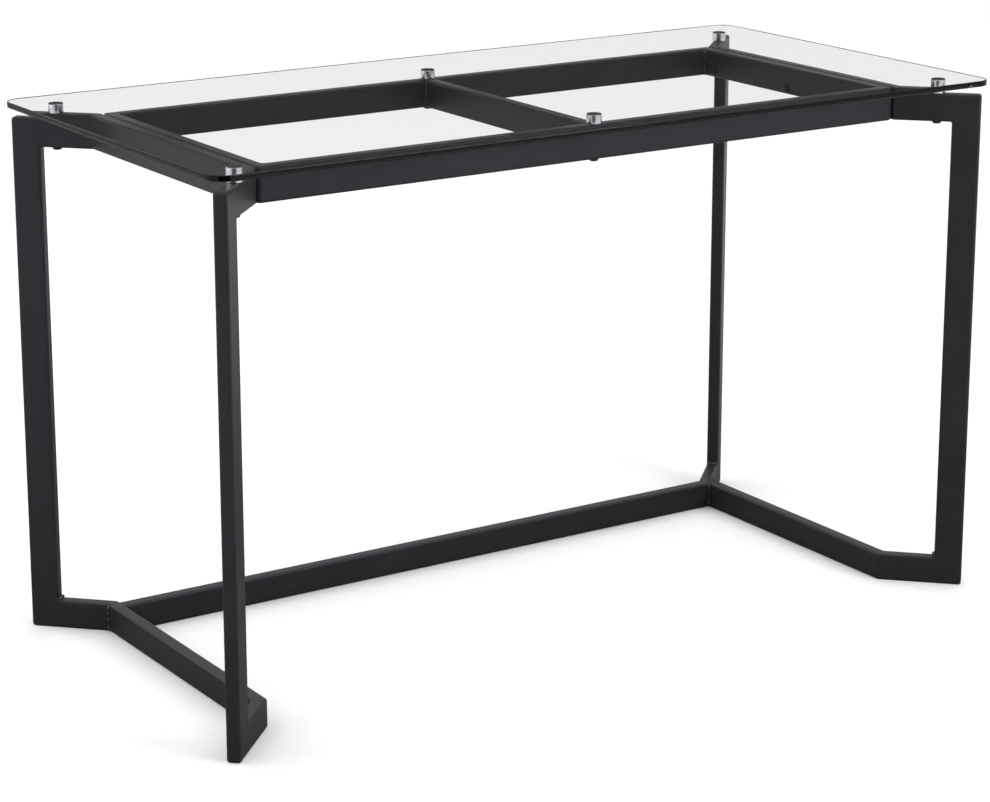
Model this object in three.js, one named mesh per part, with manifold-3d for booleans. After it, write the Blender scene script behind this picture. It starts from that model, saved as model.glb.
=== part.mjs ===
// Desk with a clear glass top, held on short polished standoffs above a frame of flat rectangular steel tube.
// Millimetres, +Z up, +X along the desk's width, -Y towards the sitter. The origin is on the floor, midway.

import * as THREE from "three";
import { mergeVertices } from "three/addons/utils/BufferGeometryUtils.js";
import Module from "manifold-3d";

const wasm = await Module();
wasm.setup();

// Driving dimensions.
const GLASS = { width: 1200, depth: 600, thickness: 8, cornerRadius: 25, edgeArris: 1, top: 730 };
const TUBE = { wide: 39, thin: 18, wall: 1.5, radius: 3 };
const STANDOFF = { radius: 10, gap: 13, arris: 0.6, holeRadius: 3.3, holeDepth: 9, inset: 60 };
const PAD = { radius: 9.5, thickness: 0.7 };
const LEG_INSET = 5; // how far the glass reaches past the outermost corner of each leg
const ARM_LENGTH = 115; // bend of the end frame to the outer face of the leg, along the arm
const ARM_ANGLE = Math.PI / 4; // of the diagonal arms, seen from above
const STRETCHER_SETBACK = 6; // stretcher's back face to the inner corner of the foot's back bend
const DECK_BOLT = { rise: 9, spacing: 170 }; // height above the rail's lower edge, and distance along the rail
const SHANK_RADIUS = 3;
const HEAD = { radius: 6.25, height: 3.5, crown: 3.6, edge: 1.2, socketRadius: 2.3, socketDepth: 2 };
const INSERT = { radius: 4.5, bulgeRadius: 5.8, bulge: 2.5, length: 11, boreRadius: 3.3 };
const WELD_GAP = 0.3; // between the mitred ends of two tubes
const DECK_GAP = 1; // between the deck frame and the end frames
const CLEARANCE = 0.3; // round shanks and sleeves

const ROUND_STEPS = 24; // standoffs and pads
const FINE_STEPS = 16; // bolts, inserts and drilled holes
const CORNER_STEPS = 2;
const GLASS_CORNER_STEPS = 8;
const DOME_STEPS = 3;

// Heights and places worked out from the driving dimensions.
const glassUnderside = GLASS.top - GLASS.thickness;
const frameTop = glassUnderside - STANDOFF.gap;
const armRise = Math.sin(ARM_ANGLE);
const armRun = Math.cos(ARM_ANGLE);
const legReach = ARM_LENGTH * armRise + (TUBE.thin / 2) * armRise;
const bendX = GLASS.width / 2 - LEG_INSET - legReach;
const bendY = GLASS.depth / 2 - LEG_INSET - legReach;
const mitreShift = ((TUBE.thin / 2) * armRun) / (1 + armRise);
const innerBendX = bendX - TUBE.thin / 2; // inner faces of the side rails
const innerBendY = bendY + mitreShift; // where the inner faces of rail and arm meet
const deckSideX = innerBendX - DECK_GAP - TUBE.thin / 2;
const deckEndY = innerBendY - TUBE.thin / 2;
const topAxis = frameTop - TUBE.wide / 2;
const footAxis = TUBE.wide / 2;
const UP = new THREE.Vector3(0, 0, 1);

const steel = { color: 0x2c2a2c, roughness: 0.42, metalness: 0.2 };
const glassLook = { color: 0xdfe8e4, roughness: 0.02, metalness: 0, transparent: true, opacity: 0.3 };
const polished = { color: 0xd4d6d8, roughness: 0.12, metalness: 1 };
const padLook = { color: 0x24231f, roughness: 0.6, metalness: 0 };
const boltBlack = { color: 0x1c1c1e, roughness: 0.45, metalness: 0.6 };
const zincLook = { color: 0x9a9c98, roughness: 0.4, metalness: 0.9 };

const desk = new THREE.Group();

function addMesh(name, geometry, look, parent = desk) {
  const mesh = new THREE.Mesh(geometry, new THREE.MeshStandardMaterial(look));
  mesh.name = name;
  parent.add(mesh);
  return mesh;
}

// Boolean cuts: a geometry as a solid, and back again.
function toSolid(geometry) {
  const bare = geometry.clone();
  bare.deleteAttribute("normal");
  bare.deleteAttribute("uv");
  const merged = mergeVertices(bare, 1e-4);
  const vertProperties = new Float32Array(merged.attributes.position.array);
  const triVerts = new Uint32Array(merged.index.array);
  return new wasm.Manifold(new wasm.Mesh({ numProp: 3, vertProperties, triVerts }));
}

function toGeometry(solid) {
  const mesh = solid.getMesh();
  const geometry = new THREE.BufferGeometry();
  geometry.setAttribute("position", new THREE.BufferAttribute(mesh.vertProperties, 3));
  geometry.setIndex(new THREE.BufferAttribute(mesh.triVerts, 1));
  const flat = geometry.toNonIndexed();
  flat.computeVertexNormals();
  return flat;
}

function cutAway(geometry, cutters) {
  let solid = toSolid(geometry);
  for (const cutter of cutters) {
    solid = solid.subtract(toSolid(cutter));
  }
  return toGeometry(solid);
}

// A rectangle with round corners, as a Shape or as a hole in one.
function roundedRectangle(PathClass, width, height, radius) {
  const x = width / 2 - radius;
  const y = height / 2 - radius;
  const path = new PathClass();
  path.absarc(x, y, radius, 0, Math.PI / 2, false);
  path.absarc(-x, y, radius, Math.PI / 2, Math.PI, false);
  path.absarc(-x, -y, radius, Math.PI, 1.5 * Math.PI, false);
  path.absarc(x, -y, radius, 1.5 * Math.PI, 2 * Math.PI, false);
  path.closePath();
  return path;
}

// A straight tube on the line from start to end. Its wide side lies along `wide`. Each end is cut on a plane
// with the given normal, half a weld gap short of the joint; without a normal the end is square.
function tubeGeometry(start, end, wide, startNormal, endNormal) {
  const axis = end.clone().sub(start);
  const length = axis.length();
  axis.normalize();
  const thin = wide.clone().cross(axis);
  const section = roundedRectangle(THREE.Shape, TUBE.thin, TUBE.wide, TUBE.radius);
  const inner = TUBE.radius - TUBE.wall;
  section.holes.push(
    roundedRectangle(THREE.Path, TUBE.thin - 2 * TUBE.wall, TUBE.wide - 2 * TUBE.wall, inner),
  );
  const options = { depth: length, steps: 1, bevelEnabled: false, curveSegments: CORNER_STEPS };
  const geometry = new THREE.ExtrudeGeometry(section, options);
  const local = (normal) => new THREE.Vector3(normal.dot(thin), normal.dot(wide), normal.dot(axis));
  const first = local(startNormal ?? axis);
  const last = local(endNormal ?? axis);
  const at = geometry.attributes.position;
  for (let i = 0; i < at.count; i += 1) {
    const [x, y] = [at.getX(i), at.getY(i)];
    const isEnd = at.getZ(i) > length / 2;
    const plane = isEnd ? last : first;
    const offset = isEnd ? -WELD_GAP / 2 : WELD_GAP / 2;
    at.setZ(i, (isEnd ? length : 0) + (offset - plane.x * x - plane.y * y) / plane.z);
  }
  geometry.applyMatrix4(new THREE.Matrix4().makeBasis(thin, wide, axis).setPosition(start));
  geometry.computeVertexNormals();
  return geometry;
}

// A round bar on `point`, along `direction`, for drilling.
function drill(point, direction, radius, length) {
  const bar = new THREE.CylinderGeometry(radius, radius, length, FINE_STEPS);
  const turn = new THREE.Quaternion().setFromUnitVectors(new THREE.Vector3(0, 1, 0), direction);
  bar.applyQuaternion(turn);
  return bar.translate(point.x, point.y, point.z);
}

// The places of the six standoffs: on the four arms, and at the middle of the front and back rails.
function armDirection(side, end) {
  return new THREE.Vector3(side * armRun, end * armRise, 0);
}

function bendPoint(side, end, height) {
  return new THREE.Vector3(side * bendX, end * bendY, height);
}

const standoffPlaces = new Map();
for (const [sideName, side] of [["left", -1], ["right", 1]]) {
  for (const [endName, end] of [["front", -1], ["back", 1]]) {
    const along = armDirection(side, end).multiplyScalar(ARM_LENGTH - STANDOFF.inset);
    standoffPlaces.set(`${sideName}_${endName}`, bendPoint(side, end, frameTop).add(along));
  }
}
standoffPlaces.set("middle_front", new THREE.Vector3(0, -deckEndY, frameTop));
standoffPlaces.set("middle_back", new THREE.Vector3(0, deckEndY, frameTop));

function standoffDrill(place) {
  return drill(place, UP, SHANK_RADIUS + CLEARANCE, 3 * TUBE.wide);
}

// The heights and places of the bolts that clamp the deck frame to an end frame.
const deckBoltHeight = frameTop - TUBE.wide + DECK_BOLT.rise;
const deckBoltPlaces = new Map([["front", -DECK_BOLT.spacing], ["middle", 0], ["back", DECK_BOLT.spacing]]);

function sideDrills(x, radius, length) {
  const sideways = new THREE.Vector3(1, 0, 0);
  return [...deckBoltPlaces.values()].map((y) =>
    drill(new THREE.Vector3(x, y, deckBoltHeight), sideways, radius, length),
  );
}

// One end frame: a closed loop of eight mitred tubes.
function addEndFrame(sideName, side) {
  const legCentre = ARM_LENGTH - TUBE.wide / 2;
  const corner = (end, height) =>
    bendPoint(side, end, height).addScaledVector(armDirection(side, end), legCentre);
  const loop = [
    { name: "front_leg", at: corner(-1, footAxis), wide: armDirection(side, -1) },
    { name: "top_front_arm", at: corner(-1, topAxis), wide: UP },
    { name: "top_rail", at: bendPoint(side, -1, topAxis), wide: UP },
    { name: "top_back_arm", at: bendPoint(side, 1, topAxis), wide: UP },
    { name: "back_leg", at: corner(1, topAxis), wide: armDirection(side, 1) },
    { name: "foot_back_arm", at: corner(1, footAxis), wide: UP },
    { name: "foot_rail", at: bendPoint(side, 1, footAxis), wide: UP },
    { name: "foot_front_arm", at: bendPoint(side, -1, footAxis), wide: UP },
  ];
  const next = (i) => loop[(i + 1) % loop.length];
  const heading = (i) => next(i).at.clone().sub(loop[i].at).normalize();
  const bits = {
    top_front_arm: [standoffDrill(standoffPlaces.get(`${sideName}_front`))],
    top_back_arm: [standoffDrill(standoffPlaces.get(`${sideName}_back`))],
    top_rail: sideDrills(side * innerBendX, INSERT.radius + CLEARANCE, TUBE.thin),
  };
  loop.forEach((piece, i) => {
    const before = (i + loop.length - 1) % loop.length;
    const startNormal = heading(before).add(heading(i)).normalize();
    const endNormal = heading(i).add(heading((i + 1) % loop.length)).normalize();
    const plain = tubeGeometry(piece.at, next(i).at, piece.wide, startNormal, endNormal);
    const geometry = bits[piece.name] ? cutAway(plain, bits[piece.name]) : plain;
    addMesh(`${sideName}_${piece.name}`, geometry, steel);
  });
}

// The deck frame: four mitred rails with a cross rail between them.
function addDeckFrame() {
  const corners = [
    { name: "deck_front_rail", at: new THREE.Vector3(-deckSideX, -deckEndY, topAxis) },
    { name: "deck_right_rail", at: new THREE.Vector3(deckSideX, -deckEndY, topAxis) },
    { name: "deck_back_rail", at: new THREE.Vector3(deckSideX, deckEndY, topAxis) },
    { name: "deck_left_rail", at: new THREE.Vector3(-deckSideX, deckEndY, topAxis) },
  ];
  const shankHole = SHANK_RADIUS + CLEARANCE;
  const bits = {
    deck_front_rail: [standoffDrill(standoffPlaces.get("middle_front"))],
    deck_back_rail: [standoffDrill(standoffPlaces.get("middle_back"))],
    deck_right_rail: sideDrills(deckSideX, shankHole, 2 * TUBE.thin),
    deck_left_rail: sideDrills(-deckSideX, shankHole, 2 * TUBE.thin),
  };
  const heading = (i) =>
    corners[(i + 1) % 4].at.clone().sub(corners[i % 4].at).normalize();
  corners.forEach((piece, i) => {
    const startNormal = heading(i + 3).add(heading(i)).normalize();
    const endNormal = heading(i).add(heading(i + 1)).normalize();
    const plain = tubeGeometry(piece.at, corners[(i + 1) % 4].at, UP, startNormal, endNormal);
    addMesh(piece.name, cutAway(plain, bits[piece.name]), steel);
  });
  const crossEnd = deckEndY - TUBE.thin / 2;
  const from = new THREE.Vector3(0, -crossEnd, topAxis);
  const to = new THREE.Vector3(0, crossEnd, topAxis);
  addMesh("deck_cross_rail", tubeGeometry(from, to, UP), steel);
}

function addStretcher() {
  const y = innerBendY - STRETCHER_SETBACK - TUBE.thin / 2;
  const from = new THREE.Vector3(-innerBendX, y, footAxis);
  const to = new THREE.Vector3(innerBendX, y, footAxis);
  addMesh("stretcher", tubeGeometry(from, to, UP), steel);
}

// The glass: a sheet with round corners and a small arris all round both faces.
function addGlass() {
  const arris = GLASS.edgeArris;
  const outline = roundedRectangle(THREE.Shape, GLASS.width, GLASS.depth, GLASS.cornerRadius);
  const options = {
    depth: GLASS.thickness - 2 * arris,
    steps: 1,
    bevelEnabled: true,
    bevelThickness: arris,
    bevelSize: arris,
    bevelOffset: -arris,
    bevelSegments: 1,
    curveSegments: GLASS_CORNER_STEPS,
  };
  const sheet = new THREE.ExtrudeGeometry(outline, options);
  sheet.translate(0, 0, glassUnderside + arris);
  addMesh("glass_top", sheet, glassLook);
}

// A solid of revolution about Z from [radius, height] points.
function turned(points, steps = ROUND_STEPS) {
  const lathe = new THREE.LatheGeometry(
    points.map(([radius, height]) => new THREE.Vector2(radius, height)),
    steps,
  );
  return lathe.rotateX(Math.PI / 2);
}

// The standoff's blind hole opens downwards, for the bolt.
function standoffGeometry() {
  const { radius, arris, holeRadius, holeDepth } = STANDOFF;
  const height = STANDOFF.gap - PAD.thickness - CLEARANCE;
  return turned([
    [0, holeDepth],
    [holeRadius, holeDepth],
    [holeRadius, 0],
    [radius - arris, 0],
    [radius, arris],
    [radius, height - arris],
    [radius - arris, height],
    [0, height],
  ]);
}

function padGeometry() {
  const { radius, thickness } = PAD;
  return turned([[0, 0], [radius, 0], [radius, thickness], [0, thickness]]);
}

// A low-domed socket bolt. The head hangs below z = 0 and the shank stands above it.
function boltGeometry(shankLength) {
  const { radius, height, crown, edge, socketRadius, socketDepth } = HEAD;
  const rim = height - edge;
  const dome = [];
  for (let i = 0; i <= DOME_STEPS; i += 1) {
    const angle = (i / DOME_STEPS) * (Math.PI / 2);
    dome.push([crown + (radius - crown) * Math.sin(angle), -edge - rim * Math.cos(angle)]);
  }
  const body = turned([
    [0, -height],
    ...dome,
    [radius, 0],
    [SHANK_RADIUS, 0],
    [SHANK_RADIUS, shankLength - SHANK_RADIUS / 4],
    [SHANK_RADIUS * 0.75, shankLength],
    [0, shankLength],
  ], FINE_STEPS);
  const socket = new THREE.CylinderGeometry(socketRadius, socketRadius, 2 * socketDepth, 6);
  socket.rotateX(Math.PI / 2).translate(0, 0, -height);
  return cutAway(body, [socket]);
}

// A threaded sleeve about Z: its mouth is at z = 0, and a bulge sits behind the tube's wall.
function insertGeometry() {
  const { radius, bulgeRadius, bulge, length, boreRadius } = INSERT;
  const behindWall = TUBE.wall + CLEARANCE;
  return turned([
    [boreRadius, 0],
    [radius, 0],
    [radius, behindWall],
    [bulgeRadius, behindWall + bulge / 2],
    [radius, behindWall + bulge],
    [radius, length],
    [boreRadius, length],
    [boreRadius, 0],
  ], FINE_STEPS);
}

function addStandoffs() {
  const stand = standoffGeometry();
  const pad = padGeometry();
  const bolt = boltGeometry(TUBE.wide + STANDOFF.holeDepth - 1);
  for (const [name, place] of standoffPlaces) {
    addMesh(`standoff_${name}`, stand, polished).position.copy(place);
    const padHeight = glassUnderside - CLEARANCE / 2 - PAD.thickness;
    addMesh(`pad_${name}`, pad, padLook).position.set(place.x, place.y, padHeight);
    addMesh(`standoff_bolt_${name}`, bolt, boltBlack).position.set(place.x, place.y, frameTop - TUBE.wide);
  }
}

function addDeckBolts() {
  const bolt = boltGeometry(TUBE.thin + DECK_GAP + INSERT.length);
  const insert = insertGeometry();
  for (const [sideName, side] of [["left", -1], ["right", 1]]) {
    for (const [placeName, y] of deckBoltPlaces) {
      const turn = (side * Math.PI) / 2;
      const boltMesh = addMesh(`deck_bolt_${sideName}_${placeName}`, bolt, boltBlack);
      boltMesh.rotation.y = turn;
      boltMesh.position.set(side * (deckSideX - TUBE.thin / 2), y, deckBoltHeight);
      const insertMesh = addMesh(`insert_${sideName}_${placeName}`, insert, zincLook);
      insertMesh.rotation.y = turn;
      insertMesh.position.set(side * innerBendX, y, deckBoltHeight);
    }
  }
}

addGlass();
addStandoffs();
addEndFrame("left", -1);
addEndFrame("right", 1);
addDeckFrame();
addStretcher();
addDeckBolts();

export default desk;
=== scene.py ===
"""Visible pieces of a glass-top desk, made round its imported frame.

Metres, Z up, front towards -Y.
"""

import math

import bmesh
import bpy
from bpy.props import FloatProperty, FloatVectorProperty, IntProperty, PointerProperty
from mathutils import Matrix, Vector


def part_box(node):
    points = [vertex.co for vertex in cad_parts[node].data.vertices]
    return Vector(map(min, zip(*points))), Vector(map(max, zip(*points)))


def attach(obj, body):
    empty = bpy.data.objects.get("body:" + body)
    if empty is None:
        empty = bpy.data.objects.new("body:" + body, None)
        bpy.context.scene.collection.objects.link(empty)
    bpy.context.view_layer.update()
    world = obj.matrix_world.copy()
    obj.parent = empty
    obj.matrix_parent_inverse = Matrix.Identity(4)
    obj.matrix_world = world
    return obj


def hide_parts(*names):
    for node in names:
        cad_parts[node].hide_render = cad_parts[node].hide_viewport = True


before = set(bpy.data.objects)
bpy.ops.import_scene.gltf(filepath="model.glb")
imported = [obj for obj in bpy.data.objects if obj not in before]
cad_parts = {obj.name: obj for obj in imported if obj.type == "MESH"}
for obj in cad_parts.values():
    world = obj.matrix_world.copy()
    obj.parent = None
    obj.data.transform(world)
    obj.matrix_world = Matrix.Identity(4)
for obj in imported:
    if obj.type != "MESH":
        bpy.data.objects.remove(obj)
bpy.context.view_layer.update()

bl_info = {
    "name": "Glass-top desk",
    "version": (1, 0, 0),
    "blender": (4, 5, 0),
    "location": "3D View > Sidebar > Desk",
    "description": "Makes the tubes, welds, fittings and glass of a desk, and a studio round it",
    "category": "Object",
}

MM = 0.001
UP = Vector((0, 0, 1))
SIDES = {"left": -1, "right": 1}
STANDOFF_PLACES = (
    "left_front",
    "left_back",
    "right_front",
    "right_back",
    "middle_front",
    "middle_back",
)
DECK_BOLT_PLACES = tuple(
    f"{side}_{place}" for side in SIDES for place in ("front", "middle", "back")
)

# How finely curves are cut.
TUBE_CORNER_STEPS = 5
JOINT_STEPS = 5
GLASS_CORNER_STEPS = 20
GLASS_ARRIS_STEPS = 4
TURNED_STEPS = 48
TURNED_ARRIS_STEPS = 3
DOMED_HEAD_STEPS = 7
BEAD_SIDES = 10
BEAD_STEP = 0.4 * MM
SUPPORT = 0.25 * MM  # a flat face stays flat up to this far from its rounded edge
SHARP_ANGLE = math.radians(38)

# Welds.
LUMP_LENGTH = 7 * MM
BEAD_END_SIZE = 0.25  # a bead starts and ends at this share of its size
BEAD_END_SLOPE = 9  # and grows by this many times its size over its whole length
SEAM_STAND_OFF = 0.35 * MM  # from the corner that a bead fills to the bead's middle
SEAM_END_GAP = 3.2 * MM  # from the end of an upright bead to the edge of the tube
SEAM_SHARE = 0.35  # how far a seam runs up a tube's rounded edges, as a share of their radius

# Bolts and standoffs.
HOLE_RADIUS = 3.3 * MM
HOLE_DEPTH = 9 * MM
HOLE_TIP = 1 * MM
HOLE_TIP_SHARE = 0.4
COUNTERSINK = 0.4 * MM
SHANK_RADIUS = 3 * MM
SHANK_TIP = 1 * MM
SHANK_TIP_SHARE = 0.7
SEAT_ARRIS = 0.2 * MM
SOCKET_CHAMFER = 0.25 * MM
SOCKET_TIP = 0.5 * MM
SOCKET_TIP_SHARE = 0.3
HEXAGON = 6
BOLT_TURN = math.radians(360 / HEXAGON)
PAD_ARRIS_SHARE = 0.35

# Glass.
GLASS_IOR = 1.5
SHUT_IN_POWER = 6  # how steeply the mirroring rises to all of it, where light is shut in
SHEET_LOSS = 3.5  # slanting light loses this many times what one face of the sheet mirrors

# The studio.
FLOOR_REACH = 60
SENSOR_WIDTH = 36
CLIP_END = 200
# Pairs of a height, from 0 at the horizon to 1 overhead, and how bright the dome is there.
DOME_SHADES = ((0.0, 0.75), (0.05, 0.42), (0.3, 0.3), (0.55, 0.5), (0.72, 1.0), (1.0, 1.0))


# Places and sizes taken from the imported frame.


def centre(node):
    low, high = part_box(node)
    return (Vector(low) + Vector(high)) / 2


def extent(node):
    low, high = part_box(node)
    return Vector(high) - Vector(low)


TUBE_THIN = extent("right_top_rail").x
TUBE_WIDE = extent("right_top_rail").z
LEG = centre("right_back_leg")
BEND_X = centre("right_top_rail").x
BEND_Y = LEG.y - (LEG.x - BEND_X)
TOP_AXIS = centre("right_top_rail").z
FOOT_AXIS = centre("right_foot_rail").z
DECK_SIDE = centre("deck_right_rail").x
DECK_END = centre("deck_back_rail").y
STRETCHER_Y = centre("stretcher").y
GLASS_LOW, GLASS_HIGH = (Vector(corner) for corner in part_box("glass_top"))


# Settings.


class DeskSteelSettings(bpy.types.PropertyGroup):
    corner_round: FloatProperty(
        name="Tube corner",
        description="Radius of the four long edges of a tube",
        default=3.5 * MM,
        subtype="DISTANCE",
        unit="LENGTH",
    )
    leg_round: FloatProperty(
        name="Leg corner",
        description="Outer radius where a leg turns into an arm",
        default=4.2 * MM,
        subtype="DISTANCE",
        unit="LENGTH",
    )
    bend_round: FloatProperty(
        name="Bend ridge",
        description="Radius of the ridge where an arm meets a rail",
        default=5 * MM,
        subtype="DISTANCE",
        unit="LENGTH",
    )
    deck_round: FloatProperty(
        name="Deck corner",
        description="Radius of the upright edge at a corner of the deck frame",
        default=7 * MM,
        subtype="DISTANCE",
        unit="LENGTH",
    )
    inner_round: FloatProperty(
        name="Inner corner",
        description="Radius left in the hollow side of a joint",
        default=2.5 * MM,
        subtype="DISTANCE",
        unit="LENGTH",
    )
    bead_radius: FloatProperty(
        name="Weld bead",
        description="Radius of a weld bead",
        default=2.4 * MM,
        subtype="DISTANCE",
        unit="LENGTH",
    )
    bead_pitch: FloatProperty(
        name="Weld ripple",
        description="Distance from one ripple of a bead to the next",
        default=2.6 * MM,
        subtype="DISTANCE",
        unit="LENGTH",
    )
    ripple_depth: FloatProperty(
        name="Ripple depth",
        description="Depth of a ripple, as a share of the bead's radius",
        default=0.22,
        min=0,
        max=1,
        subtype="FACTOR",
    )
    lumpiness: FloatProperty(
        name="Weld lumps",
        description="How much a bead swells and thins along its way",
        default=1.8,
        min=0,
    )
    tack_size: FloatProperty(
        name="Tack size",
        description="How much thicker a bead is towards its ends than in its middle",
        default=1,
        min=0,
    )
    coat_colour: FloatVectorProperty(
        name="Coat colour",
        description="Colour of the satin powder coat",
        default=(0.0248, 0.0212, 0.0246),
        min=0,
        max=1,
        subtype="COLOR",
    )
    coat_roughness: FloatProperty(
        name="Coat roughness",
        description="Mean roughness of the powder coat",
        default=0.38,
        min=0,
        max=1,
        subtype="FACTOR",
    )
    grain_size: FloatProperty(
        name="Coat grain",
        description="Size of the powder coat's grain",
        default=1.2 * MM,
        subtype="DISTANCE",
        unit="LENGTH",
    )


class DeskGlassSettings(bpy.types.PropertyGroup):
    arris: FloatProperty(
        name="Edge rounding",
        description="Width of the polished arris on both edges of the sheet",
        default=1.2 * MM,
        subtype="DISTANCE",
        unit="LENGTH",
    )
    corner_radius: FloatProperty(
        name="Corner radius",
        description="Radius of the sheet's corners, seen from above",
        default=25 * MM,
        subtype="DISTANCE",
        unit="LENGTH",
    )
    tint: FloatVectorProperty(
        name="Sheet tint",
        description="What the sheet lets through",
        default=(0.9, 0.906, 0.905),
        min=0,
        max=1,
        subtype="COLOR",
    )
    edge_tint: FloatVectorProperty(
        name="Edge tint",
        description="What the polished edge lets through",
        default=(0.23, 0.245, 0.27),
        min=0,
        max=1,
        subtype="COLOR",
    )


class DeskFittingSettings(bpy.types.PropertyGroup):
    arris: FloatProperty(
        name="Turned arris",
        description="Radius of the small arris on the ends of a standoff",
        default=0.7 * MM,
        subtype="DISTANCE",
        unit="LENGTH",
    )
    head_edge: FloatProperty(
        name="Bolt head edge",
        description="Straight part at the rim of a bolt head",
        default=1.1 * MM,
        subtype="DISTANCE",
        unit="LENGTH",
    )
    crown: FloatProperty(
        name="Bolt head flat",
        description="Radius of the flat in the middle of a bolt head",
        default=3.4 * MM,
        subtype="DISTANCE",
        unit="LENGTH",
    )
    socket: FloatProperty(
        name="Bolt socket",
        description="Distance across the flats of the hexagon socket",
        default=4 * MM,
        subtype="DISTANCE",
        unit="LENGTH",
    )
    socket_depth: FloatProperty(
        name="Socket depth",
        description="Depth of the hexagon socket",
        default=2 * MM,
        subtype="DISTANCE",
        unit="LENGTH",
    )
    seed: IntProperty(
        name="Seed",
        description="Sets how far each bolt happens to be turned",
        default=7,
        min=0,
    )
    polish_colour: FloatVectorProperty(
        name="Standoff metal",
        description="Colour of the polished standoffs",
        default=(0.85, 0.865, 0.89),
        min=0,
        max=1,
        subtype="COLOR",
    )


class DeskStageSettings(bpy.types.PropertyGroup):
    camera_place: FloatVectorProperty(
        name="Camera",
        description="Where the camera stands",
        default=(-2.099, -3.175, 1.4),
        subtype="XYZ_LENGTH",
        unit="LENGTH",
    )
    camera_turn: FloatProperty(
        name="Camera heading",
        description="How far the camera is turned to the left from looking along +Y",
        default=math.radians(-33.22),
        subtype="ANGLE",
        unit="ROTATION",
    )
    camera_dip: FloatProperty(
        name="Camera dip",
        description="How far the camera looks down",
        default=math.radians(14.61),
        subtype="ANGLE",
        unit="ROTATION",
    )
    focal_length: FloatProperty(
        name="Focal length",
        description="Focal length on a 36 mm wide sensor, in millimetres",
        default=104.47,
    )
    rise: FloatProperty(
        name="Lens shift",
        description="Vertical lens shift, as a share of the picture's width",
        default=-0.08,
    )
    floor_colour: FloatVectorProperty(
        name="Floor",
        description="Colour of the studio floor",
        default=(0.99, 0.99, 0.99),
        min=0,
        max=1,
        subtype="COLOR",
    )
    near_glow: FloatVectorProperty(
        name="Near glow",
        description="Colour of the light that the floor under the desk throws back on it",
        default=(0.24, 0.24, 0.245),
        min=0,
        max=1,
        subtype="COLOR",
    )
    far_glow: FloatVectorProperty(
        name="Far glow",
        description="Colour of the light that the floor away from the desk throws back on it",
        default=(0.72, 0.72, 0.73),
        min=0,
        max=1,
        subtype="COLOR",
    )
    glow_start: FloatProperty(
        name="Glow start",
        description="Distance at which the near glow begins to brighten",
        default=0.7,
        subtype="DISTANCE",
        unit="LENGTH",
    )
    glow_end: FloatProperty(
        name="Glow end",
        description="Distance at which the far glow is reached",
        default=2.6,
        subtype="DISTANCE",
        unit="LENGTH",
    )
    dome_strength: FloatProperty(
        name="Dome",
        description="Strength of the soft light from all round",
        default=1.344,
        min=0,
    )
    key_power: FloatProperty(
        name="Key light",
        description="Power of the soft light at the front right",
        default=38,
        min=0,
        unit="POWER",
    )
    back_power: FloatProperty(
        name="Back light",
        description="Power of the soft light at the back left",
        default=16,
        min=0,
        unit="POWER",
    )
    left_power: FloatProperty(
        name="Left light",
        description="Power of the soft light at the left",
        default=11,
        min=0,
        unit="POWER",
    )


# Node trees: arithmetic on sockets, and one way to add any node.


class Value:
    """A node's output. Arithmetic on it adds Math nodes to its tree."""

    def __init__(self, graph, socket):
        self.graph = graph
        self.socket = socket

    def calculate(self, operation, *operands):
        return self.graph.add(
            "ShaderNodeMath", {"operation": operation}, dict(enumerate(operands))
        )

    def __add__(self, other):
        return self.calculate("ADD", self, other)

    def __radd__(self, other):
        return self.calculate("ADD", other, self)

    def __sub__(self, other):
        return self.calculate("SUBTRACT", self, other)

    def __rsub__(self, other):
        return self.calculate("SUBTRACT", other, self)

    def __mul__(self, other):
        return self.calculate("MULTIPLY", self, other)

    def __rmul__(self, other):
        return self.calculate("MULTIPLY", other, self)

    def __truediv__(self, other):
        return self.calculate("DIVIDE", self, other)

    def __pow__(self, other):
        return self.calculate("POWER", self, other)

    def __abs__(self):
        return self.calculate("ABSOLUTE", self)

    def sine(self):
        return self.calculate("SINE", self)

    def at_most(self, limit):
        return self.calculate("MINIMUM", self, limit)


class Graph:
    """A node tree that is filled by add()."""

    def __init__(self, tree):
        self.tree = tree

    def add(self, kind, settings=None, inputs=None, output=0):
        """Adds a node, with its settings and then its sockets' values or links.

        Gives one of its outputs, or nothing where it has none.
        """
        node = self.tree.nodes.new(kind)
        for key, value in (settings or {}).items():
            if key == "stops":
                self.set_stops(node.color_ramp, value)
            else:
                setattr(node, key, value)
        for key, value in (inputs or {}).items():
            socket = node.inputs[key]
            if isinstance(value, Value):
                self.tree.links.new(value.socket, socket)
            else:
                socket.default_value = value
        return Value(self, node.outputs[output]) if node.outputs else None

    def set_stops(self, ramp, stops):
        while len(ramp.elements) < len(stops):
            ramp.elements.new(1)
        for element, (position, shade) in zip(ramp.elements, stops):
            element.position = position
            element.color = (shade, shade, shade, 1)


def shader_graph(name):
    material = bpy.data.materials.new(name)
    material.use_nodes = True
    material.node_tree.nodes.clear()
    return material, Graph(material.node_tree)


def opaque(colour, share=1):
    """A colour with its alpha, dimmed or brightened to a share of itself."""
    return (*(share * channel for channel in colour), 1)


def place_on_piece(graph, stretch=(1, 1, 1)):
    """Where a point lies on its piece. A small stretch draws a pattern out along its axis."""
    spot = graph.add("ShaderNodeTexCoord", output="Object")
    return graph.add(
        "ShaderNodeMapping", {"vector_type": "POINT"}, {"Vector": spot, "Scale": stretch}
    )


def noise(graph, spot, size, detail=2, rough=0.5):
    return graph.add(
        "ShaderNodeTexNoise",
        {"noise_dimensions": "3D"},
        {"Vector": spot, "Scale": 1 / size, "Detail": detail, "Roughness": rough},
        output="Fac",
    )


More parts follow.
